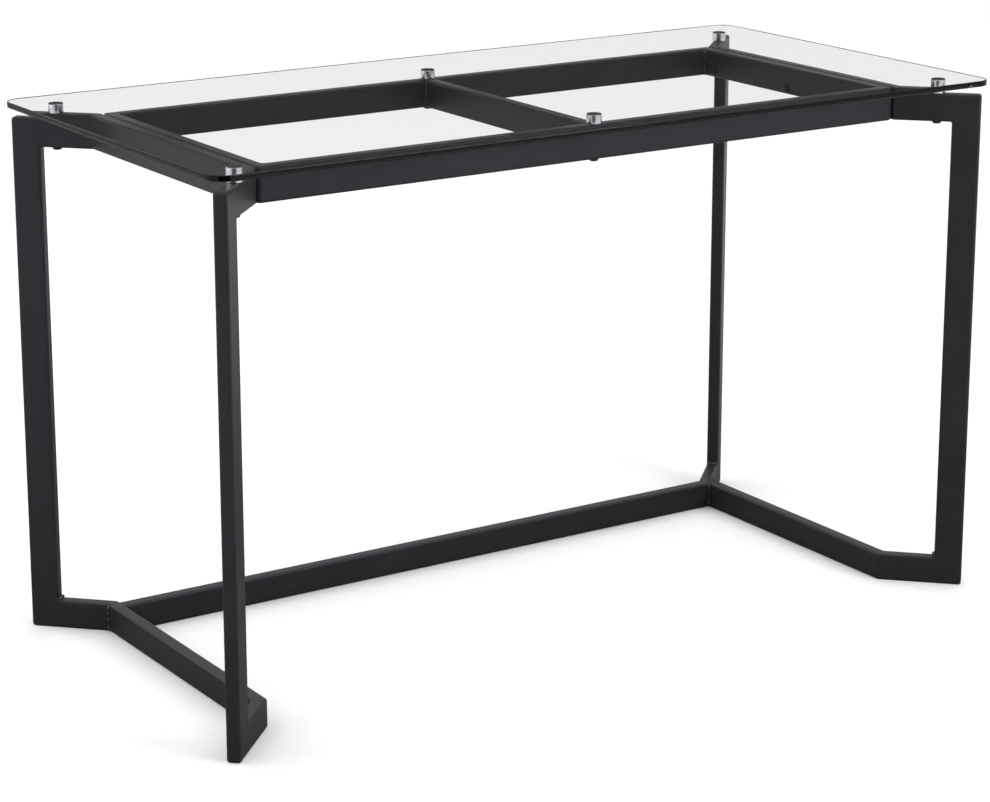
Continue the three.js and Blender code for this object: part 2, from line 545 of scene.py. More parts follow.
def blend(graph, factor, first, second):
    """A mix of two colours. A Mix node's colours are its sockets 6 and 7, and its output 2."""
    return graph.add(
        "ShaderNodeMix",
        {"data_type": "RGBA", "blend_type": "MIX", "clamp_factor": True},
        {"Factor": factor, 6: first, 7: second},
        output=2,
    )


def bump(graph, height, depth):
    return graph.add("ShaderNodeBump", {}, {"Height": height, "Strength": 1, "Distance": depth})


def finish_material(graph, inputs):
    surface = graph.add("ShaderNodeBsdfPrincipled", {}, inputs)
    graph.add("ShaderNodeOutputMaterial", {}, {"Surface": surface})


def powder_coat(steel):
    """Satin black powder coat: orange peel, fine grain and faint clouding."""
    material, graph = shader_graph("satin_black_powder_coat")
    spot = place_on_piece(graph)
    peel = noise(graph, spot, 3.2 * steel.grain_size, detail=1)
    grain = noise(graph, spot, steel.grain_size, detail=3, rough=0.6)
    cloud = noise(graph, spot, 60 * steel.grain_size, detail=3)
    tone = grain * 0.75 + cloud * 0.25
    dark, light = opaque(steel.coat_colour, 0.62), opaque(steel.coat_colour, 1.5)
    finish_material(
        graph,
        {
            "Base Color": blend(graph, (tone - 0.3) * 2.5, dark, light),
            "Roughness": steel.coat_roughness - 0.09 + grain * 0.1 + cloud * 0.08,
            "Specular IOR Level": 0.27,
            "Specular Tint": (0.88, 0.86, 1, 1),
            "Normal": bump(graph, peel * 0.5 + grain * 0.5, 0.03 * MM),
        },
    )
    return material


def coated_weld(steel):
    """Powder coat that has flowed smooth over a weld bead."""
    material, graph = shader_graph("coated_weld_bead")
    spot = place_on_piece(graph)
    pits = noise(graph, spot, steel.grain_size, detail=3)
    cloud = noise(graph, spot, 6 * steel.grain_size)
    dark, light = opaque(steel.coat_colour, 0.45), opaque(steel.coat_colour)
    finish_material(
        graph,
        {
            "Base Color": blend(graph, cloud, dark, light),
            "Roughness": 0.14 + pits * 0.16,
            "Specular IOR Level": 0.6,
            "Normal": bump(graph, pits, 0.12 * MM),
        },
    )
    return material


def polished_metal(fittings):
    """Polished metal with faint turning marks round it."""
    material, graph = shader_graph("polished_turned_metal")
    marks = noise(graph, place_on_piece(graph, (0.02, 0.02, 1)), 0.25 * MM)
    haze = noise(graph, place_on_piece(graph), 4 * MM)
    dull, bright = opaque(fittings.polish_colour, 0.86), opaque(fittings.polish_colour)
    finish_material(
        graph,
        {
            "Base Color": blend(graph, haze, dull, bright),
            "Metallic": 1,
            "Roughness": 0.18 + marks * 0.1 + haze * 0.06,
            "Normal": bump(graph, marks, 0.004 * MM),
        },
    )
    return material


def pad_rubber():
    """Dark bonding pad between a standoff and the glass."""
    material, graph = shader_graph("bonding_pad_rubber")
    spot = place_on_piece(graph)
    speck = noise(graph, spot, 0.6 * MM, detail=3)
    cloud = noise(graph, spot, 5 * MM)
    dark, light = opaque((0.03, 0.03, 0.025)), opaque((0.075, 0.073, 0.063))
    finish_material(
        graph,
        {
            "Base Color": blend(graph, cloud, dark, light),
            "Roughness": 0.45 + speck * 0.25,
            "Normal": bump(graph, speck, 0.03 * MM),
        },
    )
    return material


def black_oxide():
    """Blackened steel of the bolts, a little brighter where it is worn."""
    material, graph = shader_graph("blackened_bolt_steel")
    spot = place_on_piece(graph)
    speck = noise(graph, spot, 0.5 * MM, detail=3)
    wear = noise(graph, spot, 3 * MM)
    black, worn = opaque((0.012, 0.012, 0.013)), opaque((0.05, 0.049, 0.05))
    finish_material(
        graph,
        {
            "Base Color": blend(graph, wear * wear, black, worn),
            "Metallic": 0.35,
            "Roughness": 0.3 + speck * 0.16 + wear * 0.06,
            "Normal": bump(graph, speck, 0.02 * MM),
        },
    )
    return material


def zinc_plate():
    """Bright zinc plate of the threaded inserts, with drawn lines along X."""
    material, graph = shader_graph("bright_zinc_plate")
    lines = noise(graph, place_on_piece(graph, (0.05, 1, 1)), 0.3 * MM)
    bloom = noise(graph, place_on_piece(graph), 2 * MM, detail=3)
    dull, bright = opaque((0.5, 0.51, 0.5)), opaque((0.68, 0.68, 0.64))
    finish_material(
        graph,
        {
            "Base Color": blend(graph, bloom, dull, bright),
            "Metallic": 1,
            "Roughness": 0.28 + lines * 0.12 + bloom * 0.08,
            "Normal": bump(graph, lines, 0.01 * MM),
        },
    )
    return material


def clear_glass(name, tint, roughness, mirror_share):
    """Glass that bends what is seen through it and lets the lamps' light pass.

    It mirrors a share of what Fresnel's law gives face on, and all of it where light is shut in.
    """
    material, graph = shader_graph(name)
    smear = noise(graph, place_on_piece(graph), 90 * MM)
    bent = graph.add(
        "ShaderNodeBsdfRefraction",
        {},
        {"Color": opaque(tint), "Roughness": roughness * smear, "IOR": GLASS_IOR},
    )
    mirrored = graph.add(
        "ShaderNodeBsdfAnisotropic",
        {},
        {"Color": opaque((1, 1, 1)), "Roughness": roughness * smear},
    )
    fresnel = graph.add("ShaderNodeFresnel", {}, {"IOR": GLASS_IOR})
    inside = graph.add("ShaderNodeNewGeometry", output="Backfacing")
    seen = graph.add("ShaderNodeLightPath", output="Is Camera Ray")
    bending = graph.add("ShaderNodeLightPath", output="Is Transmission Ray")
    is_shadow = graph.add("ShaderNodeLightPath", output="Is Shadow Ray")
    faint_mirror = fresnel * (mirror_share + (1 - mirror_share) * fresnel**SHUT_IN_POWER)
    loss = SHEET_LOSS * fresnel * (1 - inside)
    share = faint_mirror + (1 - seen) * (1 - bending) * loss
    body = graph.add("ShaderNodeMixShader", {}, {0: share, 1: bent, 2: mirrored})
    through = graph.add("ShaderNodeBsdfTransparent", {}, {"Color": opaque(tint)})
    surface = graph.add(
        "ShaderNodeMixShader", {}, {0: is_shadow * (1 - loss), 1: body, 2: through}
    )
    graph.add("ShaderNodeOutputMaterial", {}, {"Surface": surface})
    return material


def once(maker, *values):
    """The material that maker makes, made at its first use."""
    known = once.made.get(maker)
    if known is None:
        known = once.made[maker] = maker(*values)
    return known


once.made = {}


# Meshes.


def link(name, data):
    """An object for a mesh, a lamp or a lens, put in the scene."""
    linked = bpy.data.objects.new(name, data)
    bpy.context.scene.collection.objects.link(linked)
    return linked


def mark_edges(body):
    """Smooth faces, with the edges kept sharp where the surface turns."""
    for face in body.faces:
        face.smooth = True
    for edge in body.edges:
        if len(edge.link_faces) == 2 and edge.calc_face_angle() > SHARP_ANGLE:
            edge.smooth = False


def skin(stations):
    """A closed body through rings of points, with both ends capped."""
    body = bmesh.new()
    rings = [[body.verts.new(point) for point in station] for station in stations]
    for ring, following in zip(rings, rings[1:]):
        for i, corner in enumerate(ring):
            j = (i + 1) % len(ring)
            body.faces.new((corner, ring[j], following[j], following[i]))
    body.faces.new(rings[0])
    body.faces.new(rings[-1])
    bmesh.ops.recalc_face_normals(body, faces=body.faces)
    mark_edges(body)
    return body


def to_object(name, body):
    mesh = bpy.data.meshes.new(name)
    body.to_mesh(mesh)
    body.free()
    return link(name, mesh)


def declare(piece, nodes):
    """Hangs a piece under the root body, and hides the CAD nodes that it stands in for."""
    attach(piece, "root")
    if nodes:
        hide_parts(*nodes)


# Tubes.


def tube_section(radius):
    """Points round a tube's section, as distances along its wide side and its thin side."""
    points = []
    for quarter in range(4):
        wide_sign = 1 if quarter in (0, 3) else -1
        thin_sign = 1 if quarter in (0, 1) else -1
        middle = Vector(
            (wide_sign * (TUBE_WIDE / 2 - radius), thin_sign * (TUBE_THIN / 2 - radius))
        )
        angles = [
            (quarter + i / TUBE_CORNER_STEPS) * math.pi / 2 for i in range(TUBE_CORNER_STEPS + 1)
        ]
        arc = [middle + radius * Vector((math.cos(a), math.sin(a))) for a in angles]
        lead_in = Vector((-math.sin(angles[0]), math.cos(angles[0])))
        lead_out = Vector((-math.sin(angles[-1]), math.cos(angles[-1])))
        points += [arc[0] - SUPPORT * lead_in, *arc, arc[-1] + SUPPORT * lead_out]
    return points


def joint_rings(vertex, heading, following, offsets, outer_round, inner_round):
    """Rings from the straight tube to its mitre with the next, round both sides of the turn."""
    turn = heading.angle(following)
    outward = (heading * math.cos(turn) - following).normalized()
    half = max(offset.dot(outward) for offset in offsets)
    corner = outward + math.tan(turn / 2) * heading
    outer_middle = vertex + (half - outer_round) * corner
    inner_middle = vertex - (half + inner_round) * corner
    rings = []
    for step in range(JOINT_STEPS + 1):
        angle = turn / 2 * step / JOINT_STEPS
        ray = outward * math.cos(angle) + heading * math.sin(angle)
        ring = []
        for offset in offsets:
            rise = offset.dot(outward)
            across = offset - rise * outward
            if rise > 0:
                ring.append(outer_middle + across + (outer_round - half + rise) * ray)
            else:
                ring.append(inner_middle + across + (inner_round + half + rise) * ray)
        rings.append(ring)
    rings.insert(0, [point - SUPPORT * heading for point in rings[0]])
    return rings


def tube_offsets(heading, wide, radius):
    """A tube's section, as offsets from its axis."""
    thin = wide.cross(heading)
    return [point.x * wide + point.y * thin for point in tube_section(radius)]


def joint_rounds(steel, wide, heading, following):
    """Outer and inner radius of a joint: a leg's corner, a corner of the deck, or a bend."""
    turns_in_wide_side = abs(wide.dot(following)) > 0.5
    is_square = abs(heading.dot(following)) < 0.1
    if turns_in_wide_side:
        return steel.leg_round, steel.inner_round
    if is_square:
        return steel.deck_round, steel.inner_round
    return steel.bend_round, steel.inner_round


def tube(steel, start, end, wide, before=None, after=None):
    """A tube from start to end. before and after are the headings of the tubes it is mitred to."""
    heading = (end - start).normalized()
    offsets = tube_offsets(heading, wide, steel.corner_round)
    if before is None:
        first = [[start + offset for offset in offsets]]
    else:
        rounds = joint_rounds(steel, wide, heading, before)
        first = joint_rings(start, -heading, -before, offsets, *rounds)[::-1]
    if after is None:
        last = [[end + offset for offset in offsets]]
    else:
        rounds = joint_rounds(steel, wide, heading, after)
        last = joint_rings(end, heading, after, offsets, *rounds)
    return skin(first + last)


def loop_headings(corners):
    """The heading of each tube in a loop of (name, start, wide) corners."""
    following = corners[1:] + corners[:1]
    return [(end[1] - start[1]).normalized() for start, end in zip(corners, following)]


def closed_loop(steel, corners):
    """Mitred tubes round a loop of (name, start, wide) corners."""
    headings = loop_headings(corners)
    for i, (name, start, wide) in enumerate(corners):
        after = (i + 1) % len(corners)
        end = corners[after][1]
        yield name, tube(steel, start, end, wide, headings[i - 1], headings[after])


def add_tube(steel, name, body):
    piece = to_object(f"tube_{name}", body)
    piece.data.materials.append(once(powder_coat, steel))
    declare(piece, [name])


def arm(side, end):
    return Vector((side, end, 0)).normalized()


def leg_place(side, end, height):
    return Vector((side * LEG.x, end * LEG.y, height))


def bend_place(side, end, height):
    return Vector((side * BEND_X, end * BEND_Y, height))


def end_frame_corners(name, side):
    """The loop of one end frame: up the front leg, back along the top, and forward at the foot."""
    return [
        (f"{name}_front_leg", leg_place(side, -1, FOOT_AXIS), arm(side, -1)),
        (f"{name}_top_front_arm", leg_place(side, -1, TOP_AXIS), UP),
        (f"{name}_top_rail", bend_place(side, -1, TOP_AXIS), UP),
        (f"{name}_top_back_arm", bend_place(side, 1, TOP_AXIS), UP),
        (f"{name}_back_leg", leg_place(side, 1, TOP_AXIS), arm(side, 1)),
        (f"{name}_foot_back_arm", leg_place(side, 1, FOOT_AXIS), UP),
        (f"{name}_foot_rail", bend_place(side, 1, FOOT_AXIS), UP),
        (f"{name}_foot_front_arm", bend_place(side, -1, FOOT_AXIS), UP),
    ]


def deck_corners():
    return [
        ("deck_front_rail", Vector((-DECK_SIDE, -DECK_END, TOP_AXIS)), UP),
        ("deck_right_rail", Vector((DECK_SIDE, -DECK_END, TOP_AXIS)), UP),
        ("deck_back_rail", Vector((DECK_SIDE, DECK_END, TOP_AXIS)), UP),
        ("deck_left_rail", Vector((-DECK_SIDE, DECK_END, TOP_AXIS)), UP),
    ]


class DESK_OT_end_frames(bpy.types.Operator):
    """Makes the two end frames, eight mitred tubes each"""

    bl_idname = "desk.end_frames"
    bl_label = "End frames"

    def execute(self, context):
        steel = context.scene.desk_steel
        for name, side in SIDES.items():
            for tube_name, body in closed_loop(steel, end_frame_corners(name, side)):
                add_tube(steel, tube_name, body)
        return {"FINISHED"}


class DESK_OT_deck_frame(bpy.types.Operator):
    """Makes the deck frame under the glass, with its cross rail"""

    bl_idname = "desk.deck_frame"
    bl_label = "Deck frame"

    def execute(self, context):
        steel = context.scene.desk_steel
        for name, body in closed_loop(steel, deck_corners()):
            add_tube(steel, name, body)
        reach = DECK_END - TUBE_THIN / 2 + steel.corner_round
        start, end = Vector((0, -reach, TOP_AXIS)), Vector((0, reach, TOP_AXIS))
        add_tube(steel, "deck_cross_rail", tube(steel, start, end, UP))
        return {"FINISHED"}


class DESK_OT_stretcher(bpy.types.Operator):
    """Makes the stretcher between the two foot rails"""

    bl_idname = "desk.stretcher"
    bl_label = "Stretcher"

    def execute(self, context):
        steel = context.scene.desk_steel
        reach = BEND_X - TUBE_THIN / 2 + steel.corner_round
        start = Vector((-reach, STRETCHER_Y, FOOT_AXIS))
        end = Vector((reach, STRETCHER_Y, FOOT_AXIS))
        add_tube(steel, "stretcher", tube(steel, start, end, UP))
        return {"FINISHED"}


# Welds: a rippled bead along each seam.


def geometry_tree(name, inputs, result):
    """A new Geometry Nodes tree: its graph, its inputs' identifiers and its inputs' values."""
    tree = bpy.data.node_groups.new(name, "GeometryNodeTree")
    sockets = {}
    for key, kind in inputs.items():
        socket = tree.interface.new_socket(key, in_out="INPUT", socket_type=kind)
        sockets[key] = socket.identifier
    tree.interface.new_socket(result, in_out="OUTPUT", socket_type="NodeSocketGeometry")
    graph = Graph(tree)
    given = {key: graph.add("NodeGroupInput", output=key) for key in inputs}
    return graph, sockets, given


def end_tree(graph, made, material):
    """Ends a tree with what it made, as a plain mesh in one material."""
    made = graph.add("GeometryNodeRealizeInstances", {}, {"Geometry": made})
    made = graph.add("GeometryNodeSetMaterial", {}, {"Geometry": made, "Material": material})
    graph.add("NodeGroupOutput", {}, {0: made})


def bead_tree():
    """Geometry Nodes that sweep a rippled, lumpy bead along the edges of a mesh."""
    inputs = {
        "Seams": "NodeSocketGeometry",
        "Bead Radius": "NodeSocketFloat",
        "Ripple Pitch": "NodeSocketFloat",
        "Ripple Depth": "NodeSocketFloat",
        "Lumpiness": "NodeSocketFloat",
        "Tack Size": "NodeSocketFloat",
        "Seed": "NodeSocketFloat",
        "Step": "NodeSocketFloat",
        "Material": "NodeSocketMaterial",
    }
    graph, sockets, given = geometry_tree("weld_bead", inputs, "Beads")
    curve = graph.add("GeometryNodeMeshToCurve", {}, {"Mesh": given["Seams"]})
    curve = graph.add(
        "GeometryNodeResampleCurve", {"mode": "LENGTH"}, {"Curve": curve, "Length": given["Step"]}
    )
    along = graph.add("GeometryNodeSplineParameter", output="Length")
    factor = graph.add("GeometryNodeSplineParameter", output="Factor")
    ripple = abs((along * math.pi / given["Ripple Pitch"]).sine())
    lump = graph.add(
        "ShaderNodeTexNoise",
        {"noise_dimensions": "4D"},
        {"W": given["Seed"], "Scale": 1 / LUMP_LENGTH, "Detail": 1},
        output="Fac",
    )
    rise = factor * BEAD_END_SLOPE + BEAD_END_SIZE
    fall = (1 - factor) * BEAD_END_SLOPE + BEAD_END_SIZE
    taper = rise.at_most(fall).at_most(1)
    from_middle = abs(2 * factor - 1)
    swell = 1 + (lump - 0.5) * given["Lumpiness"] + from_middle**4 * given["Tack Size"]
    girth = given["Bead Radius"] * (1 - given["Ripple Depth"] * (1 - ripple)) * swell * taper
    ring = graph.add(
        "GeometryNodeCurvePrimitiveCircle",
        {"mode": "RADIUS"},
        {"Resolution": BEAD_SIDES, "Radius": 1},
    )
    beads = graph.add(
        "GeometryNodeCurveToMesh",
        {},
        {"Curve": curve, "Profile Curve": ring, "Scale": girth, "Fill Caps": True},
    )
    beads = graph.add("GeometryNodeSetShadeSmooth", {}, {"Geometry": beads})
    end_tree(graph, beads, given["Material"])
    return graph.tree, sockets


def run_tree(carrier, tree, sockets, values):
    """Runs a tree on the carrier's mesh, and leaves its result as a plain mesh."""
    modifier = carrier.modifiers.new(tree.name, "NODES")
    modifier.node_group = tree
    for name, value in values.items():
        modifier[sockets[name]] = value
    bpy.context.view_layer.update()
    graph = bpy.context.evaluated_depsgraph_get()
    made = bpy.data.meshes.new_from_object(carrier.evaluated_get(graph))
    carrier.modifiers.remove(modifier)
    carrier.data = made
    made.name = carrier.name


def seam_mesh(name, seams):
    """A mesh of edges only, one chain of them for each seam."""
    mesh = bpy.data.meshes.new(name)
    points = [point for seam in seams for point in seam]
    edges = []
    start = 0
    for seam in seams:
        edges += [(start + i, start + i + 1) for i in range(len(seam) - 1)]
        start += len(seam)
    mesh.from_pydata(points, edges, [])
    return link(name, mesh)


def hollow_seam(steel, vertex, heading, following, wide):
    """The line down the hollow side of a mitred joint."""
    offsets = tube_offsets(heading, wide, steel.corner_round)
    rounds = joint_rounds(steel, wide, heading, following)
    mitre = joint_rings(vertex, heading, following, offsets, *rounds)[-1]
    outward = (heading * math.cos(heading.angle(following)) - following).normalized()
    lowest = min(offset.dot(outward) for offset in offsets)
    along = outward.cross(heading)
    reach = SEAM_SHARE * steel.corner_round
    chosen = [
        point
        for offset, point in zip(offsets, mitre)
        if offset.dot(outward) < lowest + reach
    ]
    return sorted(chosen, key=lambda point: point.dot(along))


def loop_seams(steel, corners):
    """The hollow seam at the end of each tube in a loop of (name, start, wide) corners."""
    headings = loop_headings(corners)
    seams = []
    for i, (_, _, wide) in enumerate(corners):
        after = (i + 1) % len(corners)
        vertex = corners[after][1]
        seams.append(hollow_seam(steel, vertex, headings[i], headings[after], wide))
    return seams


def butt_seams(end, inward, across):
    """The two upright seams where a rail's end stands against another rail."""
    rise = UP * (TUBE_WIDE / 2 - SEAM_END_GAP)
    lines = []
    for sign in (-1, 1):
        sideways = across * sign * (TUBE_THIN / 2 + SEAM_STAND_OFF)
        corner = end + inward * SEAM_STAND_OFF + sideways
        lines.append([corner - rise, corner, corner + rise])
    return lines


class DESK_OT_welds(bpy.types.Operator):
    """Makes the weld beads in the joints of each frame"""

    bl_idname = "desk.welds"
    bl_label = "Welds"

    def execute(self, context):
        steel = context.scene.desk_steel
        tree, sockets = bead_tree()
        groups = {}
        for name, side in SIDES.items():
            seams = loop_seams(steel, end_frame_corners(name, side))
            low = [seam for seam in seams if seam[0].z < (FOOT_AXIS + TOP_AXIS) / 2]
            groups[f"welds_{name}_end_frame"] = low
        across_x, across_y = Vector((1, 0, 0)), Vector((0, 1, 0))
        deck = loop_seams(steel, deck_corners())
        foot = []
        for sign in (-1, 1):
            deck_end = Vector((0, sign * (DECK_END - TUBE_THIN / 2), TOP_AXIS))
            deck += butt_seams(deck_end, -sign * across_y, across_x)
            foot_end = Vector((sign * (BEND_X - TUBE_THIN / 2), STRETCHER_Y, FOOT_AXIS))
            foot += butt_seams(foot_end, -sign * across_x, across_y)
        groups["welds_deck_frame"] = deck
        groups["welds_stretcher"] = foot
        for seed, (name, seams) in enumerate(groups.items()):
            carrier = seam_mesh(name, seams)
            values = {
                "Bead Radius": steel.bead_radius,
                "Ripple Pitch": steel.bead_pitch,
                "Ripple Depth": steel.ripple_depth,
                "Lumpiness": steel.lumpiness,
                "Tack Size": steel.tack_size,
                "Seed": float(seed),
                "Step": BEAD_STEP,
                "Material": once(coated_weld, steel),
            }
            run_tree(carrier, tree, sockets, values)
            declare(carrier, [])
        return {"FINISHED"}


# Turned fittings.


def ring_of(radius, height, sides=0):
    """A ring of points: a circle, or a polygon given by half its width across flats."""
    points = []
    for i in range(TURNED_STEPS):
        angle = 2 * math.pi * i / TURNED_STEPS
        distance = radius
        if sides:
            wedge = 2 * math.pi / sides
            distance = radius / math.cos((angle + wedge / 2) % wedge - wedge / 2)
        points.append(Vector((distance * math.cos(angle), distance * math.sin(angle), height)))
    return points


def top_arris(radius, height, arris):
    """Rings round a small arris from a fitting's side to its top at height."""
    rings = []
    for i in range(TURNED_ARRIS_STEPS + 1):
        angle = math.pi / 2 * i / TURNED_ARRIS_STEPS
        out, rise = arris * math.cos(angle), arris * math.sin(angle)
        rings.append(ring_of(radius - arris + out, height - arris + rise))
    return rings


def bottom_arris(radius, height, arris):
    """Rings round a small arris from a fitting's bottom at height to its side."""
    rings = []
    for i in range(TURNED_ARRIS_STEPS + 1):
        angle = math.pi / 2 * i / TURNED_ARRIS_STEPS
        out, drop = arris * math.sin(angle), arris * math.cos(angle)
        rings.append(ring_of(radius - arris + out, height + arris - drop))
    return rings


def standoff_body(fittings, radius, height):
    """A turned standoff on z = 0, with a blind hole that opens downwards."""
    rings = [
        ring_of(HOLE_TIP_SHARE * HOLE_RADIUS, HOLE_DEPTH + HOLE_TIP),
        ring_of(HOLE_RADIUS, HOLE_DEPTH),
        ring_of(HOLE_RADIUS, COUNTERSINK),
        ring_of(HOLE_RADIUS + COUNTERSINK, 0),
    ]
    rings += bottom_arris(radius, 0, fittings.arris)
    rings += top_arris(radius, height, fittings.arris)
    return skin(rings)


def pad_body(radius, height):
    """A flat disc on z = 0."""
    arris = height * PAD_ARRIS_SHARE
    return skin(bottom_arris(radius, 0, arris) + top_arris(radius, height, arris))


def bolt_body(fittings, radius, height, shank_length):
    """A low-domed bolt with a hexagon socket.

    Its head hangs below z = 0, and its shank stands above.
    """
    half_socket = fittings.socket / 2
    socket_end = fittings.socket_depth - height
    rim = height - fittings.head_edge
    rings = [
        ring_of(SOCKET_TIP_SHARE * half_socket, socket_end + SOCKET_TIP),
        ring_of(half_socket, socket_end, sides=HEXAGON),
        ring_of(half_socket, SOCKET_CHAMFER - height, sides=HEXAGON),
        ring_of(half_socket + SOCKET_CHAMFER, -height, sides=HEXAGON),
    ]
    for i in range(DOMED_HEAD_STEPS + 1):
        angle = math.pi / 2 * i / DOMED_HEAD_STEPS
        out = fittings.crown + (radius - fittings.crown) * math.sin(angle)
        rings.append(ring_of(out, -fittings.head_edge - rim * math.cos(angle)))
    rings += top_arris(radius, 0, SEAT_ARRIS)
    rings += [
        ring_of(SHANK_RADIUS, 0),
        ring_of(SHANK_RADIUS, shank_length - SHANK_TIP),
        ring_of(SHANK_TIP_SHARE * SHANK_RADIUS, shank_length),
    ]
    return skin(rings)


def set_out_tree():
    """Geometry Nodes that set a fitting on every point, facing as the point says.

    Each fitting is also turned about its own axis, at random.
    """
    inputs = {
        "Points": "NodeSocketGeometry",
        "Fitting": "NodeSocketObject",
        "Size": "NodeSocketFloat",
        "Most Turn": "NodeSocketFloat",
        "Seed": "NodeSocketInt",
        "Material": "NodeSocketMaterial",
    }
    graph, sockets, given = geometry_tree("set_out_fittings", inputs, "Fittings")
    fitting = graph.add(
        "GeometryNodeObjectInfo",
        {"transform_space": "ORIGINAL"},
        {"Object": given["Fitting"], "As Instance": True},
        output="Geometry",
    )
    facing = graph.add(
        "GeometryNodeInputNamedAttribute",
        {"data_type": "FLOAT_VECTOR"},
        {"Name": "facing"},
        output="Attribute",
    )
    upright = graph.add("FunctionNodeAlignRotationToVector", {"axis": "Z"}, {"Vector": facing})
    # A Random Value node's sockets for numbers are its inputs 2 and 3, and its output 1.
    spin = graph.add(
        "FunctionNodeRandomValue",
        {"data_type": "FLOAT"},
        {2: 0.0, 3: given["Most Turn"], "Seed": given["Seed"]},
        output=1,
    )
    about = graph.add("FunctionNodeAxisAngleToRotation", {}, {"Axis": UP, "Angle": spin})
    turned = graph.add(
        "FunctionNodeRotateRotation",
        {"rotation_space": "LOCAL"},
        {"Rotation": upright, "Rotate By": about},
    )
    made = graph.add(
        "GeometryNodeInstanceOnPoints",
        {},
        {
            "Points": given["Points"],
            "Instance": fitting,
            "Rotation": turned,
            "Scale": given["Size"],
        },
    )
    end_tree(graph, made, given["Material"])
    return graph.tree, sockets


def set_out(name, body, places, most_turn, seed, material):
    """One mesh with the fitting at each (point, facing) place."""
    pattern = to_object(f"pattern_{name}", body)
    mesh = bpy.data.meshes.new(name)
    mesh.from_pydata([point for point, _ in places], [], [])
    facing = mesh.attributes.new("facing", "FLOAT_VECTOR", "POINT")
    for i, (_, direction) in enumerate(places):
        facing.data[i].vector = direction
    carrier = link(name, mesh)
    tree, sockets = set_out_tree()
    values = {
        "Fitting": pattern,
        "Size": 1.0,
        "Most Turn": most_turn,
        "Seed": seed,
        "Material": material,
    }
    run_tree(carrier, tree, sockets, values)
    bpy.data.objects.remove(pattern)
    return carrier


def upright_places(kind, height):
    """A (point, facing) place at a height for each fitting of a kind."""
    places = []
    for place in STANDOFF_PLACES:
        middle = centre(f"{kind}_{place}")
        places.append((Vector((middle.x, middle.y, height)), UP))
    return places


class DESK_OT_standoffs(bpy.types.Operator):
    """Makes the six polished standoffs"""

    bl_idname = "desk.standoffs"
    bl_label = "Standoffs"

    def execute(self, context):
        fittings = context.scene.desk_fittings
        low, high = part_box("standoff_left_front")
        body = standoff_body(fittings, extent("standoff_left_front").x / 2, high[2] - low[2])
        places = upright_places("standoff", low[2])
        metal = once(polished_metal, fittings)
        piece = set_out("standoffs", body, places, 0.0, fittings.seed, metal)
        declare(piece, [f"standoff_{place}" for place in STANDOFF_PLACES])
        return {"FINISHED"}


class DESK_OT_pads(bpy.types.Operator):
    """Makes the bonding pads between the standoffs and the glass"""

    bl_idname = "desk.pads"
    bl_label = "Bonding pads"

    def execute(self, context):
        fittings = context.scene.desk_fittings
        low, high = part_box("pad_left_front")
        body = pad_body(extent("pad_left_front").x / 2, high[2] - low[2])
        places = upright_places("pad", low[2])
        rubber = once(pad_rubber)
        piece = set_out("bonding_pads", body, places, 0.0, fittings.seed, rubber)
        declare(piece, [f"pad_{place}" for place in STANDOFF_PLACES])
        return {"FINISHED"}


class DESK_OT_standoff_bolts(bpy.types.Operator):
    """Makes the bolts that hold the standoffs from below"""

    bl_idname = "desk.standoff_bolts"
    bl_label = "Standoff bolts"

    def execute(self, context):
        fittings = context.scene.desk_fittings
        size = extent("standoff_bolt_left_front")
        low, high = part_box("standoff_bolt_left_front")
        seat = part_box("left_top_front_arm")[0][2]
        body = bolt_body(fittings, size.x / 2, seat - low[2], high[2] - seat)
        places = upright_places("standoff_bolt", seat)
        steel = once(black_oxide)
        piece = set_out("standoff_bolts", body, places, BOLT_TURN, fittings.seed, steel)
        declare(piece, [f"standoff_bolt_{place}" for place in STANDOFF_PLACES])
        return {"FINISHED"}


class DESK_OT_deck_bolts(bpy.types.Operator):
    """Makes the bolts that clamp the deck frame to the end frames"""

    bl_idname = "desk.deck_bolts"
    bl_label = "Deck bolts"

    def execute(self, context):
        fittings = context.scene.desk_fittings
        size = extent("deck_bolt_right_front")
        low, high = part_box("deck_bolt_right_front")
        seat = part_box("deck_right_rail")[0][0]
        body = bolt_body(fittings, size.y / 2, seat - low[0], high[0] - seat)
        places = []
        for place in DECK_BOLT_PLACES:
            middle = centre(f"deck_bolt_{place}")
            sign = math.copysign(1, middle.x)
            places.append((Vector((sign * seat, middle.y, middle.z)), Vector((sign, 0, 0))))
        steel = once(black_oxide)
        piece = set_out("deck_bolts", body, places, BOLT_TURN, fittings.seed + 1, steel)
        declare(piece, [f"deck_bolt_{place}" for place in DECK_BOLT_PLACES])
        return {"FINISHED"}


class DESK_OT_inserts(bpy.types.Operator):
    """Gives the threaded inserts inside the end frames their zinc plate"""

    bl_idname = "desk.inserts"
    bl_label = "Threaded inserts"

    def execute(self, context):
        for place in DECK_BOLT_PLACES:
            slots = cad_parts[f"insert_{place}"].material_slots
            for slot in slots:
                slot.material = once(zinc_plate)
        return {"FINISHED"}


# The glass top.


def rounded_outline(inset, radius, height):
    """Points round the sheet at a height, drawn in by inset."""
    half_x = (GLASS_HIGH.x - GLASS_LOW.x) / 2 - radius
    half_y = (GLASS_HIGH.y - GLASS_LOW.y) / 2 - radius
    points = []
    for quarter, (sign_x, sign_y) in enumerate(((1, 1), (-1, 1), (-1, -1), (1, -1))):
        for i in range(GLASS_CORNER_STEPS + 1):
            angle = (quarter + i / GLASS_CORNER_STEPS) * math.pi / 2
            x = sign_x * half_x + (radius - inset) * math.cos(angle)
            y = sign_y * half_y + (radius - inset) * math.sin(angle)
            points.append(Vector((x, y, height)))
    return points


